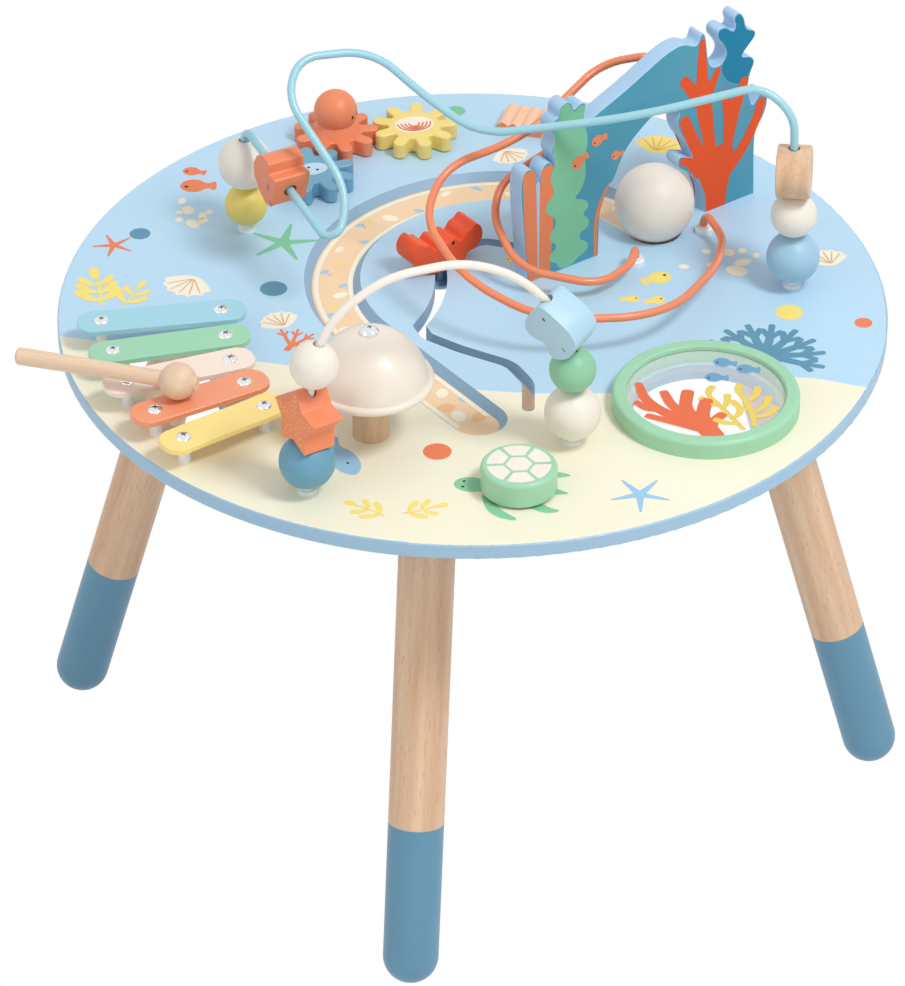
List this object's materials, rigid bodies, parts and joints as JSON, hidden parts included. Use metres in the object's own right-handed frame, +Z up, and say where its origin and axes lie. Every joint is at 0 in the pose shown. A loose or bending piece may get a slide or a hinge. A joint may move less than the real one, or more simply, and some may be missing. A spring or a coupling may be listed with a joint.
{
  "type": "musical activity table",
  "caption": "Round toddler activity table on splayed wooden legs, with a bell, drum window, xylophone, gears, bead wires, rolling ball, crab slider and coral arch.",
  "frame": {"origin": "On the floor, under the centre of the round top.", "axes": "+Z up; legs on plus and minus X and Y; the front leg is on -Y and the xylophone side is -X."},
  "size_m": [0.648, 0.648, 0.5463],
  "materials": {
    "sea_blue_print": "printed satin lacquer on fibreboard",
    "edge_blue": "satin painted edge and underside",
    "beech": "clear satin lacquer, lower ends dipped in blue",
    "zinc_plated_steel": "zinc plated",
    "bell_cream": "satin powder coat",
    "polished_screw": "polished",
    "mint_paint": "satin paint",
    "clear_film": "clear plastic film",
    "peach_paint": "satin paint",
    "teal_paint": "printed satin paint",
    "pale_blue_wire": "smooth powder coat",
    "cream_wire": "smooth powder coat",
    "orange_wire_coat": "smooth powder coat",
    "white_plastic": "moulded",
    "bar_blue": "satin powder coat",
    "bar_green": "satin powder coat",
    "bar_pink": "satin powder coat",
    "bar_orange": "satin powder coat",
    "bar_yellow": "satin powder coat",
    "white_felt": "pressed felt",
    "orange_paint": "satin paint",
    "yellow_paint": "satin paint",
    "sea_mid_blue": "satin paint",
    "cream_paint": "satin paint",
    "crab_red": "satin paint",
    "sky_paint": "satin paint",
    "whale_blue": "satin paint"
  },
  "bodies": {
    "table": {"tabletop_upper_layer": "sea_blue_print", "tabletop_lower_layer": "edge_blue", "front_leg": "beech", "right_leg": "beech", "back_leg": "beech", "left_leg": "beech", "leg_plates": "zinc_plated_steel", "leg_studs": "zinc_plated_steel", "leg_plate_screws": "zinc_plated_steel", "underside_screws": "zinc_plated_steel", "bell_post": "beech", "bell_dome": "bell_cream", "bell_screw": "polished_screw", "drum_ring": "mint_paint", "drum_film": "clear_film", "scraper_block": "peach_paint", "coral_arch": "teal_paint", "blue_wire": "pale_blue_wire", "white_wire": "cream_wire", "orange_wire": "orange_wire_coat", "wire_collars": "white_plastic", "wire_nuts": "zinc_plated_steel", "blue_bar": "bar_blue", "green_bar": "bar_green", "pink_bar": "bar_pink", "orange_bar": "bar_orange", "yellow_bar": "bar_yellow", "bar_posts": "white_plastic", "bar_felts": "white_felt", "bar_screws": "polished_screw"},
    "rolling_ball": {"rolling_ball": "cream_paint"},
    "crab": {"crab": "crab_red", "crab_stem": "beech", "crab_disc": "beech"},
    "octopus_wheel": {"octopus_gear": "orange_paint", "octopus_head": "orange_paint", "octopus_gear_axle": "beech"},
    "yellow_wheel": {"yellow_gear": "yellow_paint", "yellow_gear_axle": "beech"},
    "blue_wheel": {"blue_gear": "sea_mid_blue", "blue_gear_axle": "beech"},
    "turtle_knob": {"turtle_knob": "mint_paint", "turtle_knob_axle": "beech"},
    "mallet": {"mallet_head": "beech", "mallet_handle": "beech"},
    "lemon_bead": {"lemon_bead": "yellow_paint"},
    "cream_bead_back": {"cream_bead_back": "cream_paint"},
    "fish_block": {"fish_block": "orange_paint"},
    "blue_bead": {"blue_bead": "sea_mid_blue"},
    "star_block": {"star_block": "orange_paint"},
    "white_bead": {"white_bead": "cream_paint"},
    "cream_bead_front": {"cream_bead_front": "cream_paint"},
    "green_bead": {"green_bead": "mint_paint"},
    "whale_block": {"whale_block": "whale_blue"},
    "sky_bead": {"sky_bead": "sky_paint"},
    "cream_bead_right": {"cream_bead_right": "cream_paint"},
    "wood_disc": {"wood_disc": "beech"}
  },
  "joints": [
    {"name": "octopus_wheel_turn", "type": "hinge", "parent": "table", "child": "octopus_wheel", "pos_m": [-0.1348, 0.2062, 0.38], "axis": [0, 0, 1], "continuous": true},
    {"name": "yellow_wheel_turn", "type": "hinge", "parent": "table", "child": "yellow_wheel", "pos_m": [-0.07693, 0.22203, 0.38], "axis": [0, 0, 1], "continuous": true},
    {"name": "blue_wheel_turn", "type": "hinge", "parent": "table", "child": "blue_wheel", "pos_m": [-0.14274, 0.14673, 0.38], "axis": [0, 0, 1], "continuous": true},
    {"name": "ball_roll_round_channel", "type": "hinge", "parent": "table", "child": "rolling_ball", "pos_m": [0.019, 0.04, 0.4038], "axis": [0, 0, 1], "range_deg": [0, 186.5]},
    {"name": "crab_slide_along_slot", "type": "hinge", "parent": "table", "child": "crab", "pos_m": [-0.162, 0.011, 0.38], "axis": [0, 0, 1], "range_deg": [-34, 0]},
    {"name": "turtle_knob_turn", "type": "hinge", "parent": "table", "child": "turtle_knob", "pos_m": [0.065, -0.226, 0.38], "axis": [0, 0, 1], "continuous": true},
    {"name": "mallet_lift", "type": "slide", "parent": "table", "child": "mallet", "axis": [0, 0, 1], "range_m": [0, 0.08]},
    {"name": "lemon_bead_spin", "type": "hinge", "parent": "table", "child": "lemon_bead", "pos_m": [-0.18, 0.077, 0.40144], "axis": [0, 0, 1], "continuous": true},
    {"name": "cream_bead_back_spin", "type": "hinge", "parent": "table", "child": "cream_bead_back", "pos_m": [-0.18, 0.077, 0.43693], "axis": [0.0003, -0.0004, 1], "continuous": true},
    {"name": "fish_block_slide", "type": "slide", "parent": "table", "child": "fish_block", "axis": [0.5891, -0.7855, -0.1896], "range_m": [-0.026, 0.036]},
    {"name": "blue_bead_spin", "type": "hinge", "parent": "table", "child": "blue_bead", "pos_m": [-0.07765, -0.24983, 0.40514], "axis": [0.0249, 0.0123, 0.9996], "continuous": true},
    {"name": "star_block_spin", "type": "hinge", "parent": "table", "child": "star_block", "pos_m": [-0.07594, -0.24898, 0.44233], "axis": [0.0616, 0.0305, 0.9976], "continuous": true},
    {"name": "white_bead_spin", "type": "hinge", "parent": "table", "child": "white_bead", "pos_m": [-0.07205, -0.24706, 0.48228], "axis": [0.1927, 0.0952, 0.9766], "continuous": true},
    {"name": "cream_bead_front_spin", "type": "hinge", "parent": "table", "child": "cream_bead_front", "pos_m": [0.094, -0.165, 0.40535], "axis": [0, 0, 1], "continuous": true},
    {"name": "green_bead_spin", "type": "hinge", "parent": "table", "child": "green_bead", "pos_m": [0.09359, -0.1652, 0.44097], "axis": [-0.0497, -0.0245, 0.9985], "continuous": true},
    {"name": "whale_block_spin", "type": "hinge", "parent": "table", "child": "whale_block", "pos_m": [0.08375, -0.17007, 0.48296], "axis": [-0.3788, -0.1872, 0.9063], "continuous": true},
    {"name": "sky_bead_spin", "type": "hinge", "parent": "table", "child": "sky_bead", "pos_m": [0.22633, 0.058, 0.40494], "axis": [-0.012, 0, 0.9999], "continuous": true},
    {"name": "cream_bead_right_spin", "type": "hinge", "parent": "table", "child": "cream_bead_right", "pos_m": [0.22556, 0.058, 0.44058], "axis": [-0.0299, 0, 0.9996], "continuous": true},
    {"name": "wood_disc_lift", "type": "slide", "parent": "table", "child": "wood_disc", "axis": [-0.0307, 0, 0.9995], "range_m": [0, 0.01]}
  ],
  "couplings": [
    {"joint": "yellow_wheel_turn", "follows": "octopus_wheel_turn", "ratio": -1},
    {"joint": "blue_wheel_turn", "follows": "octopus_wheel_turn", "ratio": -1}
  ]
}
